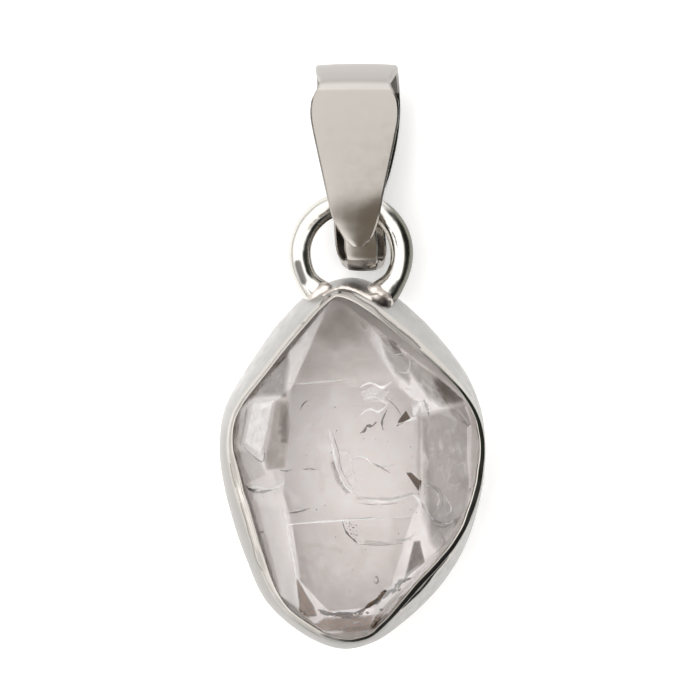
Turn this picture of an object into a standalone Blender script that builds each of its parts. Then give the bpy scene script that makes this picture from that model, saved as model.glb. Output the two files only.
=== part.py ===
"""Herkimer diamond pendant: a double-ended quartz crystal in a silver bezel, with a ring and a hanging bail.

The pendant lies on its back: +Z points out of the crystal's front, and +Y towards the bail.
All the sizes below are in millimetres, and MM turns them into Blender's metres.
"""

import math

import bmesh
import bpy
from mathutils import Matrix, Vector

MM = 0.001
JOINT_GAP = 0.03  # between pieces that are soldered or pressed together

# Back plate and bezel strip
PLATE_THICK = 0.55
WALL_FOOT_Z = PLATE_THICK + JOINT_GAP
WALL_THICK = 0.30
WALL_LEAN = 2.5  # power of the wall's curve: upright at the foot, leaning in over the crystal
LIP_ROUND = 0.05
BEZEL_SPAN_STEPS = 5

# One row for each place where the outline changes, clockwise from the top:
# rim x, rim y, foot x, foot y, rim height, lip width
BEZEL_STATIONS = (
    (-0.55, 3.18, -0.20, 4.02, 4.42, 0.20),
    (0.80, 2.50, 1.52, 3.50, 4.60, 0.17),
    (2.65, 1.00, 3.68, 1.78, 4.65, 0.16),
    (4.50, -0.60, 5.55, -0.48, 4.60, 0.18),
    (5.90, -2.15, 6.40, -2.25, 4.55, 0.22),
    (6.55, -3.65, 6.69, -3.80, 4.50, 0.28),
    (6.60, -5.40, 6.70, -5.50, 4.50, 0.34),
    (6.20, -7.40, 6.36, -7.62, 4.50, 0.35),
    (5.20, -9.45, 5.56, -9.88, 4.50, 0.32),
    (3.40, -11.55, 4.15, -11.95, 4.50, 0.34),
    (1.60, -13.50, 2.22, -13.70, 4.40, 0.28),
    (0.60, -14.18, 0.82, -14.52, 4.30, 0.22),
    (-0.70, -14.23, -0.72, -14.74, 4.25, 0.22),
    (-2.20, -13.60, -2.54, -13.98, 4.35, 0.24),
    (-3.60, -12.35, -4.34, -12.38, 4.45, 0.21),
    (-4.60, -10.40, -5.40, -10.15, 4.50, 0.32),
    (-5.35, -8.00, -6.20, -7.73, 4.55, 0.36),
    (-5.95, -5.90, -6.64, -5.70, 4.60, 0.34),
    (-6.15, -4.15, -6.71, -4.08, 4.60, 0.18),
    (-5.75, -2.55, -6.36, -2.32, 4.55, 0.15),
    (-4.40, -0.75, -5.15, -0.25, 4.50, 0.14),
    (-2.75, 1.30, -3.64, 1.87, 4.45, 0.14),
    (-1.40, 2.75, -2.02, 3.35, 4.42, 0.14),
)

# Quartz crystal. Its length, the c axis, runs along Y. A face is given by the compass angle of its
# horizontal normal (0 is +X, 90 is +Y), its slope from level, and how far it stands from the middle.
CRYSTAL_MIDDLE = (0.0, -5.6)
SECTION_Z = 4.5  # height at which the front faces' distances are measured
GIRDLE_Z = 4.35  # height at which the back faces' distances are measured
FRONT_Z = 8.0
BACK_Z = PLATE_THICK + JOINT_GAP + 0.04
RHOMB_SIDE_SLOPE = 66.9  # slope of a termination face that starts from a side face of the crystal
FRONT_TILT = (0.6, -0.5)  # degrees about X and Y
FRONT_FACES = (
    ("top", 90.0, 39.2, 8.48),
    ("upper_right", 50.5, 64.5, 6.33),
    ("right_shoulder", 34.0, RHOMB_SIDE_SLOPE, 6.10),
    ("right", -0.6, 54.0, 5.93),
    ("lower_right", -28.0, 57.0, 5.94),
    ("low_corner_right", -41.4, 72.0, 6.00),
    ("low_front", -86.8, 18.0, 13.15),
    ("bottom", -85.3, 58.0, 8.16),
    ("low_corner_left", -129.0, 63.0, 7.20),
    ("lower_left", -163.0, 64.0, 5.31),
    ("left_band", 176.9, 31.0, 9.10),
    ("left_bright", 172.4, 50.0, 6.84),
    ("left_edge", 170.4, 64.0, 6.08),
    ("upper_left", 140.2, 69.5, 6.25),
)
BACK_FACES = (
    ("top_back", 92.0, 78.0, 8.40),
    ("upper_right_back", 53.0, 80.0, 6.28),
    ("right_back", 0.0, 78.0, 5.94),
    ("lower_right_back", -30.0, 80.0, 5.90),
    ("bottom_back", -88.0, 76.0, 8.12),
    ("lower_left_back", -130.0, 78.0, 7.14),
    ("left_back", -163.0, 78.0, 5.34),
    ("left_edge_back", 170.0, 80.0, 6.04),
    ("upper_left_back", 140.0, 80.0, 6.18),
)

# Ring soldered to the top of the bezel, an open loop of round wire
RING_CENTRE = (-0.075, 5.2)
RING_Z = 2.52
RING_RADIUS = 2.575  # to the middle of the wire
WIRE_RADIUS = 0.575
RING_END_ANGLE = 54.0  # degrees below the ring's middle where the wire meets the bezel
RING_STEPS = 52
SOLDER_FLARE = 1.32  # how much wider the wire is where the solder has run up it
SOLDER_STEPS = 5

# Bail, a strip folded into a loop round the top of the ring
BAIL_X = 0.22
BAIL_THICK = 0.45
BAIL_CROWN = 0.07  # how far the strip bulges across its width
BAIL_EDGE_ROUND = 0.11
BAIL_ROLL = -2.5  # degrees about its length, as it lies
BAIL_SPAN_STEPS = 4
BAIL_ACROSS = 6
# Middle line of the strip, from its hidden end round the back and over the top to the pointed tongue in
# front: distance along the bail and depth, both from the ring's wire, half width, and sideways shift
BAIL_STATIONS = (
    (-1.50, 0.66, 0.80, 0.22),
    (-2.20, 0.52, 0.84, 0.25),
    (-2.80, 0.34, 0.80, 0.28),
    (-3.10, 0.04, 0.76, 0.30),
    (-3.15, -0.36, 0.84, 0.30),
    (-2.95, -0.74, 1.08, 0.28),
    (-2.40, -1.02, 1.32, 0.25),
    (-1.40, -1.34, 1.38, 0.19),
    (0.00, -1.72, 1.31, 0.05),
    (1.60, -1.96, 1.60, 0.04),
    (3.20, -2.11, 1.96, 0.02),
    (4.60, -2.15, 2.12, 0.00),
    (5.60, -1.90, 2.10, 0.00),
    (6.35, -1.20, 2.07, 0.00),
    (6.68, -0.30, 2.05, 0.00),
    (6.62, 0.60, 2.03, 0.00),
    (6.32, 1.36, 1.92, 0.00),
    (5.99, 1.88, 1.76, 0.00),
    (5.76, 2.10, 1.80, 0.00),
    (5.40, 2.19, 2.00, 0.00),
    (4.95, 2.21, 2.18, 0.00),
    (4.20, 2.17, 2.21, 0.00),
    (3.20, 2.08, 2.03, 0.00),
    (1.60, 1.92, 1.69, 0.00),
    (0.30, 1.78, 1.41, 0.00),
    (-0.60, 1.62, 1.22, 0.02),
    (-1.25, 1.42, 0.98, 0.06),
    (-1.75, 1.25, 0.72, 0.10),
    (-2.15, 1.12, 0.36, 0.14),
)


def start_empty():
    """Removes every object and makes the collections for the pieces and for the cutters."""
    for obj in list(bpy.data.objects):
        bpy.data.objects.remove(obj)
    made = []
    for name in ("herkimer_pendant", "cutters"):
        collection = bpy.data.collections.new(name)
        bpy.context.scene.collection.children.link(collection)
        made.append(collection)
    return made


def finish_of(name, colour, roughness, metallic, transmission=0.0):
    """A Principled material."""
    material = bpy.data.materials.new(name)
    material.use_nodes = True
    shader = material.node_tree.nodes["Principled BSDF"]
    shader.inputs["Base Color"].default_value = (*colour, 1.0)
    shader.inputs["Roughness"].default_value = roughness
    shader.inputs["Metallic"].default_value = metallic
    shader.inputs["Transmission Weight"].default_value = transmission
    return material


def add_object(name, data, collection, material=None):
    obj = bpy.data.objects.new(name, data)
    collection.objects.link(obj)
    if material:
        data.materials.append(material)
    return obj


def as_cutter(obj):
    obj.hide_render = True
    obj.display_type = "WIRE"
    return obj


def smooth_between(before, start, end, after, share):
    """A point of the Catmull-Rom curve that runs from start to end."""
    return tuple(
        0.5
        * (
            2 * b
            + (c - a) * share
            + (2 * a - 5 * b + 4 * c - d) * share**2
            + (3 * b - a - 3 * c + d) * share**3
        )
        for a, b, c, d in zip(before, start, end, after)
    )


def smooth_loop(stations, steps):
    """Closed smooth curve through the stations, with that many points for each span."""
    count = len(stations)
    return [
        smooth_between(*(stations[(i + k) % count] for k in (-1, 0, 1, 2)), step / steps)
        for i in range(count)
        for step in range(steps)
    ]


def smooth_line(stations, steps):
    """Open smooth curve through the stations."""
    last = len(stations) - 1
    points = [
        smooth_between(*(stations[min(max(i + k, 0), last)] for k in (-1, 0, 1, 2)), step / steps)
        for i in range(last)
        for step in range(steps)
    ]
    return points + [stations[-1]]


def loft(name, sections, closed_along):
    """Mesh through sections of equal point counts. Each section is a closed loop of points in millimetres."""
    mesh = bpy.data.meshes.new(name)
    bm = bmesh.new()
    rings = [[bm.verts.new(Vector(p) * MM) for p in section] for section in sections]
    size = len(rings[0])
    spans = len(rings) if closed_along else len(rings) - 1
    for i in range(spans):
        ring, following = rings[i], rings[(i + 1) % len(rings)]
        for k in range(size):
            bm.faces.new((ring[k], ring[(k + 1) % size], following[(k + 1) % size], following[k]))
    if not closed_along:
        bm.faces.new(rings[0])
        bm.faces.new(rings[-1])
    bmesh.ops.recalc_face_normals(bm, faces=bm.faces)
    bm.to_mesh(mesh)
    bm.free()
    return mesh


def shade(obj, sharp_degrees=35.0):
    obj.data.shade_smooth()
    obj.data.set_sharp_from_angle(angle=math.radians(sharp_degrees))
    return obj


def wall_point(station, rise, out=0.0):
    """Point of the bezel's outer face at a share of its height, moved outwards by that much."""
    rim_x, rim_y, foot_x, foot_y, rim_z, _, out_x, out_y = station
    lean = rise**WALL_LEAN
    return (
        foot_x + (rim_x - foot_x) * lean + out_x * out,
        foot_y + (rim_y - foot_y) * lean + out_y * out,
        WALL_FOOT_Z + (rim_z - WALL_FOOT_Z) * rise,
    )


def bezel_stations():
    """The bezel's smooth outline, each point with its outward direction added."""
    loop = smooth_loop(BEZEL_STATIONS, BEZEL_SPAN_STEPS)
    stations = []
    for i, point in enumerate(loop):
        ahead, behind = loop[(i + 1) % len(loop)], loop[i - 1]
        along = Vector((ahead[0] - behind[0], ahead[1] - behind[1])).normalized()
        stations.append((*point, -along.y, along.x))
    return stations


def bezel_section(station):
    """Closed section of the strip: up the outer face, over the lip and down the inner face."""
    lip = station[5]
    outer = [wall_point(station, rise) for rise in (0.0, 0.35, 0.6, 0.76, 0.88, 0.96)]
    crest_x, crest_y, crest_z = wall_point(station, 1.0)
    out_x, out_y = station[6:]

    def over(inward, drop):
        return (crest_x - out_x * inward, crest_y - out_y * inward, crest_z - drop)

    crest = [over(0.0, LIP_ROUND), over(0.3 * lip, 0.0), over(0.75 * lip, 0.0), over(lip, LIP_ROUND)]
    neck = wall_point(station, 0.9, -0.5 * (lip + WALL_THICK))
    inner = [wall_point(station, rise, -WALL_THICK) for rise in (0.78, 0.6, 0.3, 0.0)]
    return [*outer, *crest, neck, *inner]


def make_bezel(collection, silver):
    """The strip of silver that is bent round the crystal and pressed over its edge."""
    sections = [bezel_section(station) for station in bezel_stations()]
    return shade(add_object("bezel", loft("bezel", sections, True), collection, silver))


def make_back_plate(collection, silver):
    """The flat sheet that the strip is soldered to."""
    curve = bpy.data.curves.new("back_plate", "CURVE")
    curve.dimensions = "2D"
    curve.fill_mode = "BOTH"
    curve.extrude = PLATE_THICK / 2 * MM
    outline = [station[2:4] for station in bezel_stations()]
    spline = curve.splines.new("POLY")
    spline.points.add(len(outline) - 1)
    for point, (x, y) in zip(spline.points, outline):
        point.co = (x * MM, y * MM, 0.0, 1.0)
    spline.use_cyclic_u = True
    plate = add_object("back_plate", curve, collection, silver)
    plate.location.z = PLATE_THICK / 2 * MM
    return plate


def cut_by_face(bm, point, normal):
    """Takes away what lies outside a plane and closes the cut."""
    everything = bm.verts[:] + bm.edges[:] + bm.faces[:]
    cut = bmesh.ops.bisect_plane(bm, geom=everything, plane_co=point, plane_no=normal, clear_outer=True)
    edges = [e for e in cut["geom_cut"] if isinstance(e, bmesh.types.BMEdge)]
    if edges:
        bmesh.ops.edgenet_fill(bm, edges=edges)


def face_plane(angle, slope, distance, height, side):
    """Point and outward normal of a crystal face. Side is 1 for the front and -1 for the back."""
    across = Vector((math.cos(math.radians(angle)), math.sin(math.radians(angle)), 0.0))
    point = Vector((*CRYSTAL_MIDDLE, height)) + across * distance
    tilt = math.radians(slope)
    return point * MM, across * math.sin(tilt) + Vector((0.0, 0.0, side * math.cos(tilt)))


def make_crystal(collection, quartz):
    """One quartz crystal with flat faces: a block cut down by every face in turn."""
    mesh = bpy.data.meshes.new("crystal")
    bm = bmesh.new()
    bmesh.ops.create_cube(bm, size=60 * MM)
    for _, angle, slope, distance in FRONT_FACES:
        cut_by_face(bm, *face_plane(angle, slope, distance, SECTION_Z, 1))
    for _, angle, slope, distance in BACK_FACES:
        cut_by_face(bm, *face_plane(angle, slope, distance, GIRDLE_Z, -1))
    front_normal = Matrix.Rotation(math.radians(FRONT_TILT[0]), 3, "X") @ Vector((0.0, 0.0, 1.0))
    front_normal = Matrix.Rotation(math.radians(FRONT_TILT[1]), 3, "Y") @ front_normal
    cut_by_face(bm, Vector((*CRYSTAL_MIDDLE, FRONT_Z)) * MM, front_normal)
    cut_by_face(bm, Vector((0.0, 0.0, BACK_Z)) * MM, Vector((0.0, 0.0, -1.0)))
    bmesh.ops.recalc_face_normals(bm, faces=bm.faces)
    bm.to_mesh(mesh)
    bm.free()
    return add_object("crystal", mesh, collection, quartz)


def make_ring(collection, cutters, silver):
    """Round wire bent into an open loop, with solder at its feet, which follow the bezel's wall."""
    curve = bpy.data.curves.new("ring_line", "CURVE")
    curve.dimensions = "3D"
    curve.bevel_depth = WIRE_RADIUS * MM
    curve.bevel_resolution = 3
    curve.use_fill_caps = True
    spline = curve.splines.new("POLY")
    spline.points.add(RING_STEPS)
    for i, point in enumerate(spline.points):
        angle = math.radians(-RING_END_ANGLE + (180 + 2 * RING_END_ANGLE) * i / RING_STEPS)
        x = RING_CENTRE[0] + RING_RADIUS * math.cos(angle)
        y = RING_CENTRE[1] + RING_RADIUS * math.sin(angle)
        point.co = (x * MM, y * MM, RING_Z * MM, 1.0)
        to_end = max(0.0, 1.0 - min(i, RING_STEPS - i) / SOLDER_STEPS)
        point.radius = 1.0 + (SOLDER_FLARE - 1.0) * to_end**2
    line = bpy.data.objects.new("ring_line", curve)
    collection.objects.link(line)
    bpy.context.view_layer.update()
    evaluated = line.evaluated_get(bpy.context.evaluated_depsgraph_get())
    mesh = bpy.data.meshes.new_from_object(evaluated)
    bpy.data.objects.remove(line)
    bm = bmesh.new()
    bm.from_mesh(mesh)
    bmesh.ops.remove_doubles(bm, verts=bm.verts, dist=1e-6)
    bmesh.ops.recalc_face_normals(bm, faces=bm.faces)
    bm.to_mesh(mesh)
    bm.free()
    ring = add_object("ring", mesh, collection, silver)
    rises = (0.0, 0.35, 0.6, 0.76, 0.88, 0.96, 1.0)
    outside = [
        [wall_point(station, rise, JOINT_GAP) for station in bezel_stations()] for rise in rises
    ]
    below = [(x, y, -1.0) for x, y, _ in outside[0]]
    cutter = as_cutter(add_object("bezel_space", loft("bezel_space", [below, *outside], False), cutters))
    cut = ring.modifiers.new("meets_bezel", "BOOLEAN")
    cut.operation = "DIFFERENCE"
    cut.object = cutter
    return shade(ring)


def strip_section(centre, outward, half_width, shift):
    """Closed section of the bail's strip, bulging outwards, with its edges rounded."""
    half = BAIL_THICK / 2
    flat = half_width - BAIL_EDGE_ROUND
    face = [flat * (2 * k / BAIL_ACROSS - 1) for k in range(BAIL_ACROSS + 1)]
    corner = (half_width - 0.3 * BAIL_EDGE_ROUND, half - 0.3 * BAIL_EDGE_ROUND)
    side = (half_width, half - BAIL_EDGE_ROUND)
    outline = [(x, half) for x in face] + [corner, side, (side[0], -side[1]), (corner[0], -corner[1])]
    outline += [(-x, -half) for x in face] + [(-corner[0], -corner[1]), (-side[0], -side[1])]
    outline += [(-side[0], side[1]), (-corner[0], corner[1])]
    points = []
    for x, height in outline:
        bulge = BAIL_CROWN * (1 - (x / half_width) ** 2)
        points.append(centre + outward * (height + bulge) + Vector((shift + x, 0.0, 0.0)))
    return points


def make_bail(collection, silver):
    """A tapered strip folded round the ring's wire, its pointed end lapped over the other."""
    line = smooth_line(BAIL_STATIONS, BAIL_SPAN_STEPS)
    sections = []
    for i, (along, depth, half_width, shift) in enumerate(line):
        ahead, behind = line[min(i + 1, len(line) - 1)], line[max(i - 1, 0)]
        tangent = Vector((0.0, ahead[0] - behind[0], ahead[1] - behind[1])).normalized()
        outward = Vector((0.0, tangent.z, -tangent.y))
        sections.append(strip_section(Vector((0.0, along, depth)), outward, half_width, shift))
    bail = add_object("bail", loft("bail", sections, False), collection, silver)
    pivot = bpy.data.objects.new("bail_pivot", None)
    collection.objects.link(pivot)
    pivot.location = Vector((BAIL_X, RING_CENTRE[1] + RING_RADIUS, RING_Z)) * MM
    pivot.rotation_euler.y = math.radians(BAIL_ROLL)
    bail.parent = pivot
    return shade(bail)


def main():
    pieces, cutters = start_empty()
    make_back_plate(pieces, finish_of("matte_silver", (0.72, 0.70, 0.68), 0.40, 1.0))
    make_bezel(pieces, finish_of("satin_silver", (0.80, 0.78, 0.76), 0.25, 1.0))
    make_crystal(pieces, finish_of("rock_crystal", (0.93, 0.91, 0.91), 0.03, 0.0, 1.0))
    make_ring(pieces, cutters, finish_of("bright_silver", (0.88, 0.87, 0.85), 0.10, 1.0))
    make_bail(pieces, finish_of("polished_silver", (0.80, 0.79, 0.77), 0.15, 1.0))


main()
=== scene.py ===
import math

import bmesh
import bpy
import numpy as np
from mathutils import Matrix, Vector, noise as terrain
from mathutils.bvhtree import BVHTree


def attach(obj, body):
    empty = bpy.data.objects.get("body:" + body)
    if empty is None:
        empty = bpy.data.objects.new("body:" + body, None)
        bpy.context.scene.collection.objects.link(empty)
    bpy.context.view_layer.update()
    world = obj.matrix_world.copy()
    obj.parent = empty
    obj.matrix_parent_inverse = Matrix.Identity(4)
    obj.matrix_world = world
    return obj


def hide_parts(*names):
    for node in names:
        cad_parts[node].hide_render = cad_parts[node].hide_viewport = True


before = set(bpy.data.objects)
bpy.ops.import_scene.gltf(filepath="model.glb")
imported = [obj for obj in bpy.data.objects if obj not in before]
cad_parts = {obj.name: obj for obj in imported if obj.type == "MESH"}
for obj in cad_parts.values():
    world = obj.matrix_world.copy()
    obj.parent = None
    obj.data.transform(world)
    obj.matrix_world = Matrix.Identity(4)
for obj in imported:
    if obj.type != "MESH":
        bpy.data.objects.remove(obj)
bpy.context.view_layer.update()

# Every length below is in millimetres, and MM turns it into Blender's metres.
# +X is to the right, +Y towards the bail, and +Z out of the crystal's front.
MM = 0.001

# Back plate
# A flat sheet of sterling silver, sawn to the outline of the bezel and soldered under it. Its inner side
# was never polished, and it is what shows, bright and cloudy, through the clear crystal.


def colour(hexcode):
    """An sRGB hex code as a linear colour."""
    parts = [int(hexcode[i : i + 2], 16) / 255 for i in (1, 3, 5)]
    linear = [p / 12.92 if p <= 0.04045 else ((p + 0.055) / 1.055) ** 2.4 for p in parts]
    return (*linear, 1.0)


def node(tree, kind, settings=None, **inputs):
    """Adds a node. Settings are its own properties. An input is a value, or the socket to link to it."""
    made = tree.nodes.new(kind)
    for key, value in (settings or {}).items():
        setattr(made, key, value)
    for key, value in inputs.items():
        by_number = key[0] == "i" and key[1:].isdigit()
        socket = made.inputs[int(key[1:]) if by_number else key.replace("_", " ")]
        if isinstance(value, bpy.types.NodeSocket):
            tree.links.new(value, socket)
        else:
            socket.default_value = value
    return made


def new_material(name):
    """An empty node material, its tree, and the Object coordinates in millimetres."""
    material = bpy.data.materials.new(name)
    material.use_nodes = True
    tree = material.node_tree
    tree.nodes.clear()
    place = node(tree, "ShaderNodeTexCoord").outputs["Object"]
    scaled = node(tree, "ShaderNodeVectorMath", {"operation": "SCALE"}, Vector=place, Scale=1 / MM)
    return material, tree, scaled.outputs[0]


def ease(tree, value, low, high, to_low=0.0, to_high=1.0):
    """A value taken smoothly from one range to another, and held at its ends."""
    how = {"interpolation_type": "SMOOTHSTEP"}
    ends = {"From_Min": low, "From_Max": high, "To_Min": to_low, "To_Max": to_high}
    return node(tree, "ShaderNodeMapRange", how, Value=value, **ends).outputs[0]


def cloud(tree, vector, size, detail=3.0, roughness=0.5, distortion=0.0):
    """Soft noise whose patches are about that many millimetres across."""
    settings = {"Detail": detail, "Roughness": roughness, "Distortion": distortion}
    return node(tree, "ShaderNodeTexNoise", None, Vector=vector, Scale=1 / size, **settings).outputs[0]


def silver(name, tint, rough, waves, scratches, grain, zones=()):
    """Sterling silver. Waves, scratches and grain are the heights in millimetres of what the tools left.

    Each zone is a part with another finish or with painted shade: an axis or a point, where the zone starts
    and is complete along the axis or away from the point, and its tint and roughness.
    """
    material, tree, place = new_material(name)
    swell = cloud(tree, place, 1.1, 2.0, 0.4)
    stroke_turn = (0.3, 0.2, 0.7)
    narrow = (1.0, 13.0, 13.0)
    along = node(tree, "ShaderNodeMapping", None, Vector=place, Rotation=stroke_turn, Scale=narrow)
    lines = cloud(tree, along.outputs[0], 0.4, 4.0, 0.7)
    fine = cloud(tree, place, 0.07, 3.0, 0.6)
    uneven = ease(tree, cloud(tree, place, 0.6, 3.0, 0.6, 0.4), 0.3, 0.75, rough * 0.75, rough * 1.35)
    metal = colour(tint)
    for where, start, full, other_tint, other_rough in zones:
        if isinstance(where, str):
            reach = node(tree, "ShaderNodeSeparateXYZ", None, Vector=place).outputs[where]
        else:
            away = node(tree, "ShaderNodeVectorMath", {"operation": "DISTANCE"}, i0=place, i1=where)
            reach = away.outputs["Value"]
        share = ease(tree, reach, start, full)
        uneven = node(tree, "ShaderNodeMix", None, Factor=share, i2=uneven, i3=other_rough).outputs[0]
        tones = {"i6": metal, "i7": colour(other_tint)}
        metal = node(tree, "ShaderNodeMix", {"data_type": "RGBA"}, Factor=share, **tones).outputs[2]
    worn = node(tree, "ShaderNodeMath", {"operation": "MULTIPLY_ADD"}, i0=lines, i1=rough * 0.3, i2=uneven)
    normal = None
    for pattern, height in ((swell, waves), (lines, scratches), (fine, grain)):
        below = {"Normal": normal} if normal else {}
        normal = node(tree, "ShaderNodeBump", None, Height=pattern, Distance=height * MM, **below).outputs[0]
    finish = {"Base_Color": metal, "Metallic": 1.0, "Roughness": worn.outputs[0], "Normal": normal}
    shader = node(tree, "ShaderNodeBsdfPrincipled", None, **finish)
    node(tree, "ShaderNodeOutputMaterial", None, Surface=shader.outputs[0])
    return material


def add_mesh(name, points, faces, material, smooth_degrees=None):
    """A mesh object from points in millimetres, with its faces turned outwards."""
    mesh = bpy.data.meshes.new(name)
    bm = bmesh.new()
    verts = [bm.verts.new(Vector(p) * MM) for p in points]
    for face in faces:
        bm.faces.new([verts[i] for i in face])
    bmesh.ops.recalc_face_normals(bm, faces=bm.faces)
    bm.to_mesh(mesh)
    bm.free()
    obj = bpy.data.objects.new(name, mesh)
    bpy.context.scene.collection.objects.link(obj)
    mesh.materials.append(material)
    if smooth_degrees:
        mesh.shade_smooth()
        mesh.set_sharp_from_angle(angle=math.radians(smooth_degrees))
    return obj


def smooth_curve(rows, steps, closed):
    """Catmull-Rom curve through rows of numbers, with that many points for each span."""
    rows = np.array(rows, float)
    count = len(rows)
    out = []
    for i in range(count if closed else count - 1):
        around = [(i + k) % count if closed else min(max(i + k, 0), count - 1) for k in (-1, 0, 1, 2)]
        a, b, c, d = rows[around]
        for t in np.arange(steps) / steps:
            bend = (2 * a - 5 * b + 4 * c - d) * t**2 + (3 * b - a - 3 * c + d) * t**3
            out.append(0.5 * (2 * b + (c - a) * t + bend))
    return np.array(out if closed else [*out, rows[-1]])


def loft(name, sections, closed, material, smooth_degrees=50):
    """A skin over sections of equal point counts, capped at both ends unless it closes on itself."""
    count, size = len(sections), len(sections[0])
    faces = []
    for i in range(count if closed else count - 1):
        here, after = i * size, (i + 1) % count * size
        for k in range(size):
            faces.append((here + k, here + (k + 1) % size, after + (k + 1) % size, after + k))
    if not closed:
        faces += [tuple(range(size)), tuple(range((count - 1) * size, count * size))]
    return add_mesh(name, [p for section in sections for p in section], faces, material, smooth_degrees)


# One row for each place where the setting's outline turns, clockwise from the top:
# rim x, rim y, foot x, foot y, rim height, lip width
outline = smooth_curve(
    (
        (-0.55, 3.18, -0.20, 4.02, 4.42, 0.20),
        (0.80, 2.50, 1.52, 3.50, 4.60, 0.17),
        (2.65, 1.00, 3.68, 1.78, 4.65, 0.16),
        (4.50, -0.60, 5.55, -0.48, 4.60, 0.18),
        (5.90, -2.15, 6.40, -2.25, 4.55, 0.22),
        (6.55, -3.65, 6.69, -3.80, 4.50, 0.28),
        (6.60, -5.40, 6.70, -5.50, 4.50, 0.34),
        (6.20, -7.40, 6.36, -7.62, 4.50, 0.35),
        (5.20, -9.45, 5.56, -9.88, 4.50, 0.32),
        (3.40, -11.55, 4.15, -11.95, 4.50, 0.34),
        (1.60, -13.50, 2.22, -13.70, 4.40, 0.28),
        (0.60, -14.18, 0.82, -14.52, 4.30, 0.22),
        (-0.70, -14.23, -0.72, -14.74, 4.25, 0.22),
        (-2.20, -13.60, -2.54, -13.98, 4.35, 0.24),
        (-3.60, -12.35, -4.34, -12.38, 4.45, 0.21),
        (-4.60, -10.40, -5.40, -10.15, 4.50, 0.32),
        (-5.35, -8.00, -6.20, -7.73, 4.55, 0.36),
        (-5.95, -5.90, -6.64, -5.70, 4.60, 0.34),
        (-6.15, -4.15, -6.71, -4.08, 4.60, 0.18),
        (-5.75, -2.55, -6.36, -2.32, 4.55, 0.15),
        (-4.40, -0.75, -5.15, -0.25, 4.50, 0.14),
        (-2.75, 1.30, -3.64, 1.87, 4.45, 0.14),
        (-1.40, 2.75, -2.02, 3.35, 4.42, 0.14),
    ),
    16,
    True,
)
along = np.roll(outline, -1, 0)[:, :2] - np.roll(outline, 1, 0)[:, :2]
along /= np.linalg.norm(along, axis=1, keepdims=True)
outward = np.stack([-along[:, 1], along[:, 0]], 1)

plate_thick = 0.55
edge_break = 0.03  # the sawn edge is rubbed with a file underneath
n = len(outline)
levels = ((0.0, edge_break), (edge_break, 0.0), (plate_thick, 0.0))
plate_points = [(x, y, z) for z, inset in levels for x, y in outline[:, 2:4] - outward * inset]
plate_faces = [
    (lower + k, lower + (k + 1) % n, lower + n + (k + 1) % n, lower + n + k)
    for lower in (0, n)
    for k in range(n)
]
plate_faces += [tuple(range(n)), tuple(range(2 * n, 3 * n))]
matte_silver = silver("sterling silver, unpolished sheet", "#FDFAF8", 0.8, 0.03, 0.002, 0.001)
plate = add_mesh("back_plate_visual", plate_points, plate_faces, matte_silver, 50)
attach(plate, "setting")
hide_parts("back_plate")

# Bezel
# A strip of fine silver bent round the crystal and soldered to the plate. Its upper edge is pressed over
# the crystal and burnished, which leaves a bright slanting lip of uneven width above satin walls.
wall_foot_z = 0.58
wall_thick = 0.30
wall_lean = 2.5


def wall_point(i, rise, out=0.0):
    """Point of the outer wall at a share of its height, moved outwards by that much."""
    rim_x, rim_y, foot_x, foot_y, rim_z, _ = outline[i]
    lean = rise**wall_lean
    x = foot_x + (rim_x - foot_x) * lean + outward[i][0] * out
    y = foot_y + (rim_y - foot_y) * lean + outward[i][1] * out
    return np.array([x, y, wall_foot_z + (rim_z - wall_foot_z) * rise])


# The lip's section, from the wall up the slant, over the crest and down to the crystal: distance inwards as
# a share of the lip's width, and distance below the crest as a share of the slant's height.
lip_line = smooth_curve(
    (
        (0.0, 1.5),
        (0.0, 1.16),
        (0.07, 0.93),
        (0.34, 0.55),
        (0.62, 0.15),
        (0.80, 0.0),
        (0.93, 0.12),
        (1.0, 0.5),
        (1.0, 1.0),
    ),
    3,
    False,
)
sections = []
for i in range(n):
    turn = 2 * math.pi * i / n
    strokes = 0.5 * math.sin(11 * turn) + 0.3 * math.sin(23 * turn + 1.0) + 0.2 * math.sin(41 * turn + 2.0)
    lip = outline[i][5] * (1 + 0.10 * strokes)
    slant = (0.34 + 0.08 * strokes) * lip + 0.03
    crest = wall_point(i, 1.0)
    inward = np.array([-outward[i][0], -outward[i][1], 0.0])
    down = np.array([0.0, 0.0, -slant])
    section = [wall_point(i, rise) for rise in (0.0, 0.15, 0.3, 0.45, 0.58, 0.68, 0.76, 0.83, 0.88, 0.92)]
    section += [crest + inward * lip * across + down * below for across, below in lip_line]
    section.append(wall_point(i, 0.92, -0.5 * (lip + wall_thick)))
    section += [wall_point(i, rise, -wall_thick) for rise in (0.84, 0.78, 0.6, 0.4, 0.2, 0.0)]
    sections.append(section)
# The wall is brushed satin, and its top is bright where the burnisher rubbed it over the crystal. Its lower
# left side is painted darker, a painted dark reflection.
burnished = ("Z", 4.05, 4.32, "#B6B1AB", 0.07)
lower_left_shade = ((-7.0, -12.0, 2.5), 11.0, 7.5, "#989591", 0.33)
satin_silver = silver("fine silver, satin wall", "#ABA9A7", 0.3, 0.02, 0.001, 0.0002, (lower_left_shade, burnished))
bezel = loft("bezel_visual", sections, True, satin_silver)
# The inner side of the strip was never tarnished or finished. It lights the crystal from all round.
inner_silver = silver("fine silver, inner side as rolled", "#FBF9F6", 0.35, 0.03, 0.001, 0.0002)
bezel.data.materials.append(inner_silver)
section_size = len(sections[0])
inner_rows = range(section_size - 7, section_size - 1)
for face in bezel.data.polygons:
    if face.index % section_size in inner_rows:
        face.material_index = 1
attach(bezel, "setting")
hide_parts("bezel")

# Ring
# Round silver wire bent into an open loop, tumbled bright, with both feet soldered to the bezel's end. The
# solder has run a little way up the wire and thickens it there. The outer side of its right half is painted
# a dark greenish grey, a painted dark reflection.
right_dark_reflection = ((-1.2, 5.2, 2.52), 3.78, 3.92, "#77766D", 0.2)
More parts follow.
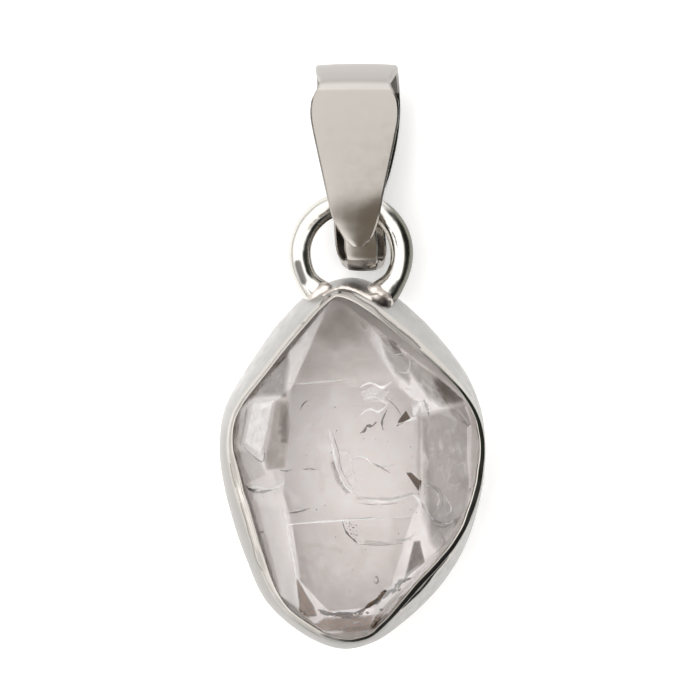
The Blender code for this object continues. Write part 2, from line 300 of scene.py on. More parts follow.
# A short dark line along its left leg is a painted dark reflection.
line_start = np.array([-2.74, 4.72, 3.06])
line_course = np.array([0.22, -0.94, 0.0])
line_bend = np.array([0.09, 0.0, 0.0])
ring_zones = [right_dark_reflection]
for t in np.linspace(0, 1, 10):
    spot = line_start + line_course * t + line_bend * t**2
    ring_zones.append((spot, 0.24, 0.07, "#63615D", 0.3))
bright_silver = silver(
    "sterling silver wire, tumbled bright", "#CDCAC4", 0.09, 0.06, 0.003, 0.0002, ring_zones
)

wire_loop = bpy.data.node_groups.new("open wire loop", "GeometryNodeTree")
for label in ("Loop Radius", "Wire Radius", "Foot Angle", "Foot Flare", "Flare Share", "Unevenness"):
    wire_loop.interface.new_socket(name=label, in_out="INPUT", socket_type="NodeSocketFloat")
wire_loop.interface.new_socket(name="Middle", in_out="INPUT", socket_type="NodeSocketVector")
wire_loop.interface.new_socket(name="Metal", in_out="INPUT", socket_type="NodeSocketMaterial")
wire_loop.interface.new_socket(name="Mesh", in_out="OUTPUT", socket_type="NodeSocketGeometry")
given = node(wire_loop, "NodeGroupInput").outputs
foot_angle = given["Foot Angle"]
start = node(wire_loop, "ShaderNodeMath", {"operation": "MULTIPLY"}, i0=foot_angle, i1=-1.0)
sweep = node(wire_loop, "ShaderNodeMath", {"operation": "MULTIPLY_ADD"}, i0=foot_angle, i1=2.0, i2=math.pi)
arc = node(
    wire_loop,
    "GeometryNodeCurveArc",
    {"mode": "RADIUS"},
    Resolution=140,
    Radius=given["Loop Radius"],
    Start_Angle=start.outputs[0],
    Sweep_Angle=sweep.outputs[0],
)
share = node(wire_loop, "GeometryNodeSplineParameter").outputs["Factor"]
from_end = node(wire_loop, "ShaderNodeMath", {"operation": "SUBTRACT"}, i0=1.0, i1=share)
nearest = node(wire_loop, "ShaderNodeMath", {"operation": "MINIMUM"}, i0=share, i1=from_end.outputs[0])
flare = node(
    wire_loop,
    "ShaderNodeMapRange",
    {"interpolation_type": "SMOOTHSTEP"},
    Value=nearest.outputs[0],
    From_Max=given["Flare Share"],
    To_Min=given["Foot Flare"],
    To_Max=1.0,
)
phase = node(wire_loop, "ShaderNodeMath", {"operation": "MULTIPLY"}, i0=share, i1=31.0)
wave = node(wire_loop, "ShaderNodeMath", {"operation": "SINE"}, i0=phase.outputs[0])
uneven = node(
    wire_loop,
    "ShaderNodeMath",
    {"operation": "MULTIPLY_ADD"},
    i0=wave.outputs[0],
    i1=given["Unevenness"],
    i2=flare.outputs[0],
)
round_wire = {"Resolution": 36, "Radius": given["Wire Radius"]}
profile = node(wire_loop, "GeometryNodeCurvePrimitiveCircle", {"mode": "RADIUS"}, **round_wire)
swept = node(
    wire_loop,
    "GeometryNodeCurveToMesh",
    None,
    Curve=arc.outputs[0],
    Profile_Curve=profile.outputs[0],
    Scale=uneven.outputs[0],
    Fill_Caps=True,
)
middle = given["Middle"]
placed = node(wire_loop, "GeometryNodeTransform", None, Geometry=swept.outputs[0], Translation=middle)
real = node(wire_loop, "GeometryNodeRealizeInstances", None, Geometry=placed.outputs[0])
dressed = node(wire_loop, "GeometryNodeSetMaterial", None, Geometry=real.outputs[0], Material=given["Metal"])
node(wire_loop, "NodeGroupOutput", None, Mesh=dressed.outputs[0])


def grown(name, tree, values, source=None):
    """The plain mesh that a Geometry Nodes tree makes from named values and, where it needs one, a mesh."""
    seed = bpy.data.objects.new("seed", source or bpy.data.meshes.new("seed"))
    bpy.context.scene.collection.objects.link(seed)
    modifier = seed.modifiers.new("growth", "NODES")
    modifier.node_group = tree
    sockets = {item.name: item.identifier for item in tree.interface.items_tree if item.in_out == "INPUT"}
    for label, value in values.items():
        modifier[sockets[label]] = value
    bpy.context.view_layer.update()
    mesh = bpy.data.meshes.new_from_object(seed.evaluated_get(bpy.context.evaluated_depsgraph_get()))
    seed.modifiers.remove(modifier)
    bpy.data.objects.remove(seed)
    mesh.name = name
    obj = bpy.data.objects.new(name, mesh)
    bpy.context.scene.collection.objects.link(obj)
    return obj


ring_middle = Vector((-0.075, 5.2, 2.52))
ring_radius = 2.575
wire_radius = 0.575
ring = grown(
    "ring_visual",
    wire_loop,
    {
        "Loop Radius": ring_radius * MM,
        "Wire Radius": wire_radius * MM,
        "Foot Angle": math.radians(54.0),
        "Foot Flare": 1.32,
        "Flare Share": 0.10,
        "Unevenness": 0.012,
        "Middle": ring_middle * MM,
        "Metal": bright_silver,
    },
)
bm = bmesh.new()
bm.from_mesh(ring.data)
bmesh.ops.remove_doubles(bm, verts=bm.verts, dist=1e-7)
bmesh.ops.recalc_face_normals(bm, faces=bm.faces)
bm.to_mesh(ring.data)
bm.free()
ring.data.shade_smooth()
ring.data.set_sharp_from_angle(angle=math.radians(50))
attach(ring, "setting")
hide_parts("ring")

# Solder
# Silver solder that flowed round the ring's feet and along the end of the bezel between them. It set in
# soft lumps, one of them folded over a small pit to the right of the crystal's point. The shade in that pit
# is painted nearly black.
pit_shade = ((1.52, 2.72, 3.85), 0.42, 0.22, "#4E4744", 0.5)
tarnished_silver = silver(
    "silver solder, lightly tarnished", "#CDC5BE", 0.34, 0.12, 0.006, 0.004, (pit_shade,)
)

# The lumps are blended in whole millimetres, because a metaball's resolution has a least value.
lumps = bpy.data.metaballs.new("solder")
lumps.resolution = 0.06
lumps.render_resolution = 0.06
lumps.threshold = 0.5
for x, y, z, radius in (
    (-1.58, 3.22, 2.80, 0.63),
    (-1.30, 3.38, 3.10, 0.42),
    (-1.80, 2.90, 2.85, 0.56),
    (-1.30, 3.02, 3.70, 0.28),
    (-1.05, 3.18, 3.72, 0.26),
    (-0.78, 3.32, 3.74, 0.27),
    (-0.50, 3.42, 3.73, 0.24),
    (-0.22, 3.38, 3.75, 0.26),
    (0.06, 3.28, 3.78, 0.25),
    (0.34, 3.15, 3.80, 0.28),
    (0.62, 3.01, 3.84, 0.29),
    (0.90, 2.89, 3.84, 0.30),
    (1.12, 3.28, 3.00, 0.52),
    (1.40, 3.12, 2.70, 0.62),
    (1.58, 2.90, 3.10, 0.50),
    (1.75, 2.72, 3.45, 0.38),
    (1.50, 2.80, 3.75, 0.30),
    (1.20, 2.98, 3.75, 0.28),
):
    lump = lumps.elements.new()
    lump.co = (x, y, z)
    lump.radius = radius * 1.35  # a metaball shows smaller than its radius
lump_object = bpy.data.objects.new("solder_lumps", lumps)
bpy.context.scene.collection.objects.link(lump_object)
bpy.context.view_layer.update()
blended = lump_object.evaluated_get(bpy.context.evaluated_depsgraph_get())
solder_mesh = bpy.data.meshes.new_from_object(blended)
bpy.data.objects.remove(lump_object)
solder_mesh.transform(Matrix.Scale(MM, 4))
solder_mesh.name = "solder"
solder_mesh.materials.clear()
solder_mesh.materials.append(tarnished_silver)
solder_mesh.shade_smooth()
solder = bpy.data.objects.new("solder", solder_mesh)
bpy.context.scene.collection.objects.link(solder)
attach(solder, "setting")

# Bail
# A tapered strip of silver folded over in a loop, its pointed front end lapped over the narrower back one.
# It is polished, with a slight crown across and softened edges, and hangs on the ring.
strip_thick = 0.45
strip_crown = 0.07
edge_bevel = (0.09, 0.07)  # how far the filed bevel along each edge reaches in and down
# Distance along the bail and depth from the ring's wire, half width, and sideways shift.
strip = smooth_curve(
    (
        (-1.50, 0.66, 0.80, 0.22),
        (-2.20, 0.52, 0.84, 0.25),
        (-2.80, 0.34, 0.80, 0.28),
        (-3.10, 0.04, 0.76, 0.30),
        (-3.15, -0.36, 0.84, 0.30),
        (-2.95, -0.74, 1.08, 0.28),
        (-2.40, -1.02, 1.27, 0.20),
        (-1.40, -1.34, 1.28, 0.09),
        (0.00, -1.72, 1.22, -0.04),
        (1.60, -1.96, 1.60, 0.04),
        (3.20, -2.11, 1.96, 0.02),
        (4.60, -2.15, 2.12, 0.00),
        (5.60, -1.90, 2.10, 0.00),
        (6.35, -1.20, 2.07, 0.00),
        (6.68, -0.30, 2.05, 0.00),
        (6.62, 0.60, 2.03, 0.00),
        (6.32, 1.36, 1.92, 0.00),
        (5.99, 1.88, 1.76, 0.00),
        (5.76, 2.10, 1.80, 0.00),
        (5.40, 2.19, 2.00, 0.00),
        (4.95, 2.21, 2.18, 0.00),
        (4.20, 2.17, 2.21, 0.00),
        (3.20, 2.08, 2.03, 0.00),
        (1.60, 1.92, 1.69, 0.00),
        (0.30, 1.78, 1.41, 0.00),
        (-0.60, 1.62, 1.22, 0.02),
        (-1.25, 1.42, 0.98, 0.06),
        (-1.75, 1.25, 0.72, 0.10),
        (-2.15, 1.12, 0.36, 0.14),
    ),
    10,
    False,
)
hang = Matrix.Translation((0.22, ring_middle.y + ring_radius, ring_middle.z))
hang = hang @ Matrix.Rotation(math.radians(-2.5), 4, "Y")
half_thick = strip_thick / 2
sections = []
for i, (distance, depth, half_width, shift) in enumerate(strip):
    ahead, behind = strip[min(i + 1, len(strip) - 1)], strip[max(i - 1, 0)]
    tangent = Vector((0.0, ahead[0] - behind[0], ahead[1] - behind[1])).normalized()
    outside = Vector((0.0, tangent.z, -tangent.y))
    flat = half_width - edge_bevel[0]
    corner = [(half_width, half_thick - edge_bevel[1])]
    across = list(np.linspace(-flat, flat, 15))
    section = [(x, half_thick) for x in across] + corner + [(x, -h) for x, h in reversed(corner)]
    section += [(x, -half_thick) for x in reversed(across)]
    section += [(-x, -h) for x, h in corner] + [(-x, h) for x, h in reversed(corner)]
    points = []
    for x, height in section:
        bulge = strip_crown * (1 - (x / half_width) ** 2)
        points.append(hang @ (Vector((shift + x, distance, depth)) + outside * (height + bulge)))
    sections.append(points)
# The bend at the top is left satin where the pliers held it.
pliers = ("Y", 13.25, 13.5, "#ADA9A5", 0.45)
polished_silver = silver("sterling silver, hand polished", "#A09B95", 0.13, 0.008, 0.0006, 0.00005, (pliers,))
bail = loft("bail_visual", sections, False, polished_silver, 35)
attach(bail, "bail")
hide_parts("bail")

# Crystal
# One clear quartz crystal with its natural faces, its length lying along Y. The faces across its length
# carry fine growth lines, and the edges are a little worn.
rock_crystal, tree, place = new_material("rock crystal quartz")
stretched = node(tree, "ShaderNodeMapping", None, Vector=place, Scale=(0.5, 5.0, 2.0))
lines = cloud(tree, stretched.outputs[0], 1.0, 4.0, 0.6)
where = ease(tree, cloud(tree, place, 2.5, 2.0), 0.42, 0.6)
growth_lines = node(tree, "ShaderNodeMath", {"operation": "MULTIPLY"}, i0=lines, i1=where)
swell = cloud(tree, place, 1.3, 3.0, 0.5)
bump = node(tree, "ShaderNodeBump", None, Height=growth_lines.outputs[0], Distance=0.03 * MM)
bump = node(tree, "ShaderNodeBump", None, Height=swell, Distance=0.03 * MM, Normal=bump.outputs[0])
shader = node(
    tree,
    "ShaderNodeBsdfPrincipled",
    None,
    Base_Color=colour("#FFFFFF"),
    Roughness=0.0,
    IOR=1.544,
    Transmission_Weight=1.0,
    Normal=bump.outputs[0],
)
depth_tint = node(tree, "ShaderNodeVolumeAbsorption", None, Color=colour("#F1E0E3"), Density=16.0)
node(tree, "ShaderNodeOutputMaterial", None, Surface=shader.outputs[0], Volume=depth_tint.outputs[0])

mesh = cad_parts["crystal"].data.copy()
mesh.materials.clear()
mesh.materials.append(rock_crystal)
bm = bmesh.new()
bm.from_mesh(mesh)
bmesh.ops.remove_doubles(bm, verts=bm.verts, dist=2e-6)
bmesh.ops.dissolve_limit(bm, angle_limit=math.radians(0.5), verts=bm.verts, edges=bm.edges)
bmesh.ops.bevel(bm, geom=bm.edges[:], offset=0.022 * MM, segments=1, affect="EDGES", clamp_overlap=True)
bmesh.ops.recalc_face_normals(bm, faces=bm.faces)
crystal_surface = BVHTree.FromBMesh(bm)
bm.to_mesh(mesh)
bm.free()
mesh.shade_flat()
crystal = bpy.data.objects.new("crystal_visual", mesh)
bpy.context.scene.collection.objects.link(crystal)
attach(crystal, "setting")
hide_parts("crystal")

# Films, cracks and specks inside the crystal
# Healed cracks, rust-brown stains and painted shade lie as thin films just under its front faces. Each is an
# uneven sheet with fading edges, and is written as the outline that it shows when the crystal is seen from
# the photograph's viewpoint, at the height of the bezel's rim.
viewpoint = Vector((-0.1125, 0.35, 304.55))
rim_height = 4.5


def under_face(x, y, depth):
    """The point that many millimetres below the crystal's front where (x, y) is seen."""
    ray = (Vector((x, y, rim_height)) - viewpoint).normalized()
    hit = crystal_surface.ray_cast(viewpoint * MM, ray)[0]
    if hit is None:
        return None
    return hit / MM + Vector((0.0, 0.0, -1.0)) * depth


def films(name, rows, material, cuts=9):
    """One object of thin sheets. A row is strength, depth, width of the fading edge, and outline."""
    points, faces, strengths = [], [], []
    for strength, depth, fade, shape in rows:
        bm = bmesh.new()
        flat = [bm.verts.new((x, y, 0.0)) for x, y in shape]
        bmesh.ops.triangulate(bm, faces=[bm.faces.new(flat)])
        if cuts:
            bmesh.ops.subdivide_edges(bm, edges=bm.edges[:], cuts=cuts, use_grid_fill=True)
        corners = np.array(shape, float)
        sides = np.roll(corners, -1, 0) - corners
        first = len(points)
        kept = {}
        for vert in bm.verts:
            spot = np.array(vert.co[:2])
            t = np.clip(((spot - corners) * sides).sum(1) / (sides**2).sum(1), 0, 1)
            to_edge = np.linalg.norm(corners + sides * t[:, None] - spot, axis=1).min()
            relief = 0.3 * min(depth, 0.4) * terrain.noise(Vector((*spot, depth)) * 1.7)
            place = under_face(*spot, depth + relief)
            if place is None:
                continue
            kept[vert] = first + len(kept)
            points.append(place)
            strengths.append(strength * min(1.0, to_edge / fade) if fade else strength)
        for face in bm.faces:
            if all(vert in kept for vert in face.verts):
                faces.append([kept[vert] for vert in face.verts])
        bm.free()
    obj = add_mesh(name, points, faces, material)
    film = obj.data.attributes.new("film", "FLOAT", "POINT")
    film.data.foreach_set("value", np.array(strengths, np.float32))
    obj.data.shade_smooth()
    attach(obj, "setting")
    return obj


def stroke(strength, depth, width, path):
    """A row for films: a crack seen on its edge, as a line of uneven width that tapers to both ends."""
    path = smooth_curve(path, 4, False)
    ahead = np.gradient(path, axis=0)
    ahead /= np.linalg.norm(ahead, axis=1, keepdims=True)
    share = np.linspace(0, 1, len(path))
    uneven = 1 + 0.35 * np.sin(17 * share + 9 * path[0][0]) + 0.2 * np.sin(41 * share)
    half = 0.5 * width * np.sin(math.pi * np.clip(share, 0.04, 0.96)) ** 0.5 * uneven
    side = np.stack([-ahead[:, 1], ahead[:, 0]], 1) * half[:, None]
    return strength, depth, 0.0, [*(path + side), *(path - side)[::-1]]


def film_material(name, dark, light, size, sharpness, rough=0.6, metallic=0.0):
    """A thin film inside quartz: two tones in patches of that size, clear where the patches thin out."""
    material, tree, place = new_material(name)
    patches = cloud(tree, place, size, 5.0, 0.65, 0.6)
    tones = {"i6": colour(dark), "i7": colour(light)}
    tone = node(tree, "ShaderNodeMix", {"data_type": "RGBA"}, Factor=patches, **tones)
    broken = ease(tree, patches, 0.45 - sharpness, 0.4 + 0.4 * sharpness)
    film = node(tree, "ShaderNodeAttribute", {"attribute_name": "film"}).outputs["Fac"]
    cover = node(tree, "ShaderNodeMath", {"operation": "MULTIPLY"}, i0=broken, i1=film)
    shader = node(
        tree,
        "ShaderNodeBsdfPrincipled",
        None,
        Base_Color=tone.outputs[2],
        Roughness=rough,
        Metallic=metallic,
        Alpha=cover.outputs[0],
        IOR=1.5,
        Specular_IOR_Level=0.2,
    )
    node(tree, "ShaderNodeOutputMaterial", None, Surface=shader.outputs[0])
    return material


# Painted shade: thin brownish grey films darken the crystal towards its point and along its upper right and
# left flanks.
shade_film = film_material("painted shade in quartz", "#38240D", "#836849", 0.9, 0.4)
apex = (
    ((-0.71, 2.9), (0.0, 2.55), (0.8, 1.6), (1.04, 1.0), (0.6, 0.4), (-0.86, 0.1), (-2.0, 0.6), (-2.3, 1.2)),
    ((-0.71, 2.9), (-0.11, 2.6), (1.04, 1.35), (2.04, -0.9), (-0.36, -1.3), (-3.21, -1.4), (-3.4, -0.75),
        (-2.6, 0.6)),
)
upper_right = (
    ((1.29, 1.35), (2.39, 0.35), (3.89, -0.75), (5.14, -1.55), (5.79, -2.15), (5.54, -2.4), (4.39, -2.6),
        (3.79, -2.25)),
    ((2.04, -0.9), (1.64, -0.15), (1.39, 0.6), (1.29, 1.35), (2.2, 0.4), (2.75, -0.3), (3.0, -1.1),
        (2.89, -1.55)),
    ((3.9, -1.0), (4.6, -1.3), (5.5, -2.0), (5.4, -2.4), (4.5, -2.35), (3.95, -1.9)),
)
left_flank = (
    ((-3.1, 0.5), (-3.05, -0.4), (-3.25, -2.05), (-4.51, -2.05), (-5.61, -2.25), (-5.8, -2.15),
        (-4.5, -0.65)),
    ((-3.86, -2.15), (-3.11, -2.15), (-3.15, -3.65), (-3.3, -5.6), (-4.3, -5.7), (-4.45, -5.15),
        (-4.15, -4.15)),
    ((-3.6, -2.3), (-3.15, -2.3), (-3.2, -4.0), (-3.75, -4.0)),
    ((-5.86, -4.6), (-5.11, -4.65), (-4.51, -5.2), (-4.21, -5.9), (-5.36, -6.4)),
    ((-5.11, -2.25), (-5.01, -2.25), (-5.46, -4.4), (-5.81, -4.45), (-5.91, -3.65)),
)
lower_points = (
    ((-2.81, -10.9), (-1.86, -12.5), (-1.71, -12.95), (-2.61, -13.05)),
    ((3.04, -9.15), (3.39, -9.15), (3.64, -10.25), (2.89, -10.9), (2.54, -11.15), (2.79, -10.15)),
)
right_side = (
    ((3.25, -2.9), (4.39, -2.5), (5.74, -2.15), (6.3, -3.65), (6.3, -5.65), (5.7, -8.15), (4.39, -10.0),
        (3.7, -9.3)),
    ((3.25, -2.9), (3.7, -2.75), (3.9, -4.5), (4.1, -6.5), (4.3, -8.6), (3.7, -9.3), (3.3, -8.0),
        (3.15, -6.0)),
)
left_side = ((-3.46, -7.4), (-3.11, -9.15), (-2.76, -11.15), (-2.61, -12.75), (-3.36, -12.2),
    (-4.3, -10.15), (-5.0, -7.15))
films(
    "smoky_zones",
    (
        (0.42, 0.50, 0.8, apex[0]),
        (0.14, 0.30, 0.7, apex[1]),
        (0.75, 0.15, 0.2, upper_right[0]),
        (0.65, 0.15, 0.2, upper_right[1]),
        (0.40, 0.25, 0.2, upper_right[2]),
        (0.85, 0.15, 0.25, left_flank[0]),
        (0.50, 0.12, 0.12, left_flank[1]),
        (0.45, 0.20, 0.15, left_flank[2]),
        (0.28, 0.12, 0.1, left_flank[3]),
        (0.34, 0.1, 0.1, left_flank[4]),
        (0.60, 0.2, 0.3, right_side[0]),
        (0.35, 0.3, 0.3, right_side[1]),
        (0.10, 0.2, 0.3, left_side),
    ),
    shade_film,
)
# In the corners the painted shade is darkest and nearly black. Two small brown spots lie right of the middle.
brown_spots = (
    ((2.69, -2.65), (2.94, -3.1), (2.59, -3.3), (2.19, -3.5), (2.34, -3.1)),
    ((2.64, -5.75), (2.94, -5.75), (3.44, -6.2), (3.34, -6.75)),
)
corner_shade_and_stain = film_material("painted corner shade and brown spots in quartz", "#281506", "#674526", 0.5, 0.55)
films(
    "dark_corners",
    (
        (1.0, 0.1, 0.05, lower_points[0]),
        (1.0, 0.2, 0.03, brown_spots[0]),
        (1.0, 0.2, 0.03, brown_spots[1]),
        (0.90, 0.1, 0.10, lower_points[1]),
        (0.55, 0.12, 0.1, ((1.5, 1.3), (2.4, 0.45), (2.6, -0.1), (2.1, 0.1))),
        (0.60, 0.12, 0.1, ((4.0, -0.8), (5.1, -1.6), (5.7, -2.25), (4.9, -2.2), (4.3, -1.6))),
        (0.60, 0.12, 0.1, ((-3.15, -2.3), (-3.1, -3.4), (-3.2, -4.4), (-3.6, -4.3), (-3.5, -3.0))),
        (0.50, 0.12, 0.1, ((-3.2, 0.3), (-3.1, -0.5), (-3.7, -0.9), (-4.4, -0.9))),
        (0.55, 0.12, 0.25, left_flank[0]),
    ),
    corner_shade_and_stain,
)

# Iron oxide has seeped in along cracks near the base and stained them a patchy rust brown.
rust = film_material("iron oxide stain in quartz", "#351D08", "#A87644", 0.2, 0.75)
films(
    "rust_stains",
    (
        (1.0, 0.25, 0.04, brown_spots[0]),
        (0.95, 0.25, 0.05, brown_spots[1]),
        (0.95, 0.15, 0.12, ((-2.21, -13.5), (-1.36, -12.95), (1.64, -12.8), (1.29, -13.5), (0.64, -13.75),
            (-1.36, -13.75))),
        (0.9, 0.12, 0.1, ((-0.36, -13.5), (1.29, -13.25), (1.29, -13.55), (0.49, -13.8), (-0.61, -13.8))),
        (0.8, 0.08, 0.1, ((-2.61, -12.75), (-2.01, -12.45), (-1.71, -12.95), (-2.51, -13.15))),
        (1.0, 0.08, 0.06, lower_points[0]),
        (0.5, 0.08, 0.08, lower_points[1]),
        (0.35, 0.15, 0.2, ((3.9, -1.35), (4.6, -1.5), (5.3, -2.1), (4.6, -2.4), (4.0, -2.1))),
        (0.4, 0.15, 0.06, ((-0.2, 2.75), (0.5, 2.3), (1.5, 1.5), (2.6, 0.75), (2.5, 0.5), (1.4, 1.35),
            (0.4, 2.15))),
        stroke(0.9, 0.15, 0.20, ((-1.7, -12.6), (-1.4, -12.75), (-0.7, -12.85), (0.14, -12.95),
            (0.64, -12.55))),
        stroke(0.9, 0.15, 0.20, ((0.5, -12.65), (0.99, -12.3), (1.39, -12.0), (1.74, -11.75), (2.14, -11.6))),
        stroke(0.7, 0.15, 0.16, ((2.1, -11.6), (2.39, -11.2), (2.89, -11.05))),
        stroke(0.6, 0.10, 0.30, ((1.35, -13.3), (2.1, -12.6), (3.0, -11.6), (4.2, -10.3))),
    ),
    rust,
)

# Cracks that lie flat mirror the light from their air gap, and those seen on their edge are dark lines.
white = film_material("air-filled crack in quartz", "#F4EFEC", "#FFFFFF", 0.5, 0.8, 0.5, 1.0)
films(
    "bright_cracks",
    (
        (0.7, 0.14, 0.06, ((-4.96, -2.15), (-3.86, -2.15), (-4.51, -5.15), (-5.46, -4.4))),
        (0.45, 0.3, 0.06, ((2.39, -1.55), (3.34, -1.7), (2.99, -2.2))),
        (0.75, 0.3, 0.05, ((2.94, -2.25), (3.54, -2.25), (3.24, -2.9), (3.04, -3.05))),
        (0.35, 0.3, 0.1, ((0.35, -1.75), (1.1, -1.45), (1.9, -1.7), (1.5, -2.3), (0.7, -2.2))),
        (0.28, 0.3, 0.1, ((-0.83, -4.6), (-0.15, -4.7), (0.1, -5.8), (0.35, -6.7), (-0.05, -6.8),
            (-0.5, -6.0))),
    ),
    white,
)
films(
    "bright_lines",
    (
        stroke(0.85, 0.10, 0.09, ((-3.31, -8.4), (-1.3, -8.22), (0.9, -8.1), (2.94, -7.98))),
        stroke(0.45, 0.10, 0.07, ((-3.21, -1.4), (-1.6, -1.27), (-0.36, -1.15))),
        stroke(0.8, 0.10, 0.09, ((1.04, 1.35), (1.39, 0.6), (1.64, -0.15), (2.04, -0.9))),
        stroke(0.9, 0.10, 0.10, ((2.14, -3.4), (3.14, -3.05), (4.24, -2.4))),
        stroke(0.8, 0.10, 0.09, ((-3.46, -7.4), (-3.11, -9.15), (-2.76, -11.15), (-2.61, -12.75))),
        stroke(0.5, 0.10, 0.07, ((2.14, 0.1), (2.79, 0.1), (2.79, -0.75), (2.2, -0.75))),
        stroke(0.8, 0.20, 0.10, ((0.3, -1.6), (0.9, -1.35), (1.5, -1.55), (1.95, -1.3))),
        stroke(0.7, 0.20, 0.09, ((0.5, -2.2), (1.1, -2.0), (1.7, -2.3), (2.0, -2.1))),
        stroke(0.7, 0.20, 0.10, ((0.35, -2.95), (0.9, -2.6), (1.3, -2.75), (1.75, -2.4))),
        stroke(0.8, 0.20, 0.10, ((-1.15, -3.7), (-0.95, -4.6), (-0.75, -5.6), (-0.3, -6.5), (0.3, -6.95))),
        stroke(0.7, 0.20, 0.08, ((0.3, -7.0), (1.2, -7.25), (2.3, -7.15), (3.3, -6.8))),
        stroke(0.7, 0.20, 0.07, ((0.2, -9.2), (1.3, -9.25), (2.5, -9.15), (3.4, -8.75))),
        stroke(0.6, 0.20, 0.07, ((-0.3, -5.2), (0.6, -5.0), (1.2, -5.5), (2.1, -5.4))),
        stroke(0.8, 0.20, 0.10, ((3.6, -6.4), (4.1, -6.6), (4.3, -7.2), (4.0, -7.7))),
        stroke(0.8, 0.20, 0.10, ((3.5, -7.3), (4.0, -8.1), (4.7, -8.3), (5.3, -8.0))),
        stroke(0.8, 0.20, 0.08, ((4.6, -7.0), (4.9, -7.5), (4.7, -8.0))),
        stroke(0.9, 0.20, 0.10, ((2.9, -6.9), (3.3, -7.1), (3.2, -7.6))),
        stroke(0.6, 0.10, 0.08, ((-5.6, -6.7), (-4.9, -6.45), (-4.0, -6.6), (-3.4, -6.3))),
    ),
    white,
    0,
)
edge_on = film_material("open crack seen on its edge, in quartz", "#2C221B", "#5E5047", 0.15, 0.7)
films(
    "dark_lines",
    (
        stroke(0.95, 0.10, 0.15, ((-0.25, 2.62), (0.39, 2.15), (1.39, 1.3), (2.2, 0.6))),
        stroke(0.85, 0.12, 0.13, ((0.4, -3.8), (0.6, -3.7), (0.75, -3.45), (1.0, -3.45), (1.2, -3.25))),
        stroke(0.85, 0.12, 0.09, ((1.54, -3.65), (1.49, -3.2), (1.74, -2.65))),
        stroke(0.7, 0.12, 0.07, ((-2.61, -2.65), (-2.45, -2.35), (-2.21, -2.15))),
        stroke(0.7, 0.12, 0.08, ((-3.26, -7.8), (-2.7, -7.75), (-2.11, -7.55))),
        stroke(0.6, 0.12, 0.08, ((-3.61, -5.65), (-3.3, -5.7), (-3.01, -5.65))),
        stroke(0.6, 0.12, 0.06, ((-2.46, -5.65), (-2.1, -5.6), (-1.71, -5.65))),
        stroke(0.7, 0.12, 0.13, ((-5.36, -6.4), (-4.9, -6.7), (-4.5, -6.75), (-3.71, -6.55))),
        stroke(0.6, 0.12, 0.06, ((-0.41, -8.1), (0.4, -8.1), (1.14, -8.0))),
        stroke(0.6, 0.12, 0.07, ((0.99, -5.3), (1.4, -5.5), (1.89, -5.8))),
        stroke(0.6, 0.12, 0.07, ((3.39, -7.15), (3.64, -7.75))),
        stroke(0.6, 0.12, 0.11, ((-3.6, 0.4), (-3.3, -0.25))),
        stroke(0.6, 0.12, 0.14, ((3.55, -2.15), (3.7, -2.5), (3.8, -2.95))),
        stroke(0.5, 0.12, 0.05, ((-1.0, -3.8), (-0.7, -4.7), (-0.55, -5.6), (-0.1, -6.4))),
        stroke(0.5, 0.12, 0.05, ((0.3, -7.3), (1.3, -7.4), (2.3, -7.3))),
        stroke(0.75, 0.12, 0.07, ((-0.5, -8.2), (-0.3, -8.75), (0.1, -9.15), (0.25, -9.3))),
        stroke(0.5, 0.12, 0.05, ((0.25, -9.35), (1.4, -9.4), (2.5, -9.3))),
        stroke(0.5, 0.12, 0.06, ((3.7, -6.3), (4.3, -6.6), (4.5, -7.3), (4.2, -7.9))),
        stroke(0.6, 0.12, 0.07, ((3.9, -8.3), (4.5, -8.5), (5.2, -8.2))),
        stroke(0.5, 0.12, 0.05, ((4.3, -8.7), (4.6, -9.2), (4.4, -9.5))),
        stroke(0.7, 0.12, 0.06, ((1.1, -11.05), (1.2, -10.98), (1.3, -11.15), (1.2, -11.32), (1.1, -11.2))),
        stroke(0.5, 0.12, 0.05, ((-5.2, -2.3), (-5.55, -4.4))),
        stroke(0.9, 0.08, 0.14, ((-1.6, -12.65), (-1.3, -12.85), (-0.7, -12.8), (0.1, -12.78),
            (0.84, -12.45))),
        stroke(1.0, 0.08, 0.22, ((0.84, -12.45), (1.2, -12.25), (1.5, -12.0), (1.85, -11.75))),
        stroke(1.0, 0.08, 0.18, ((1.84, -11.7), (2.2, -11.65))),
        stroke(0.9, 0.08, 0.14, ((2.1, -11.4), (2.4, -11.25), (2.7, -11.2))),
        stroke(0.8, 0.08, 0.10, ((1.3, -12.65), (1.55, -12.6))),
        stroke(0.8, 0.08, 0.10, ((0.65, -12.75), (0.85, -12.8))),
        stroke(0.8, 0.08, 0.12, ((-5.3, -6.5), (-5.0, -6.65), (-4.7, -6.6))),
        stroke(0.8, 0.08, 0.10, ((-4.6, -8.75), (-4.4, -8.75))),
        stroke(0.7, 0.12, 0.06, ((-5.4, -4.5), (-4.5, -5.25), (-4.35, -4.6))),
        stroke(0.6, 0.12, 0.07, ((1.6, -2.0), (2.1, -2.4), (2.45, -2.9))),
    ),
    edge_on,
    0,
)

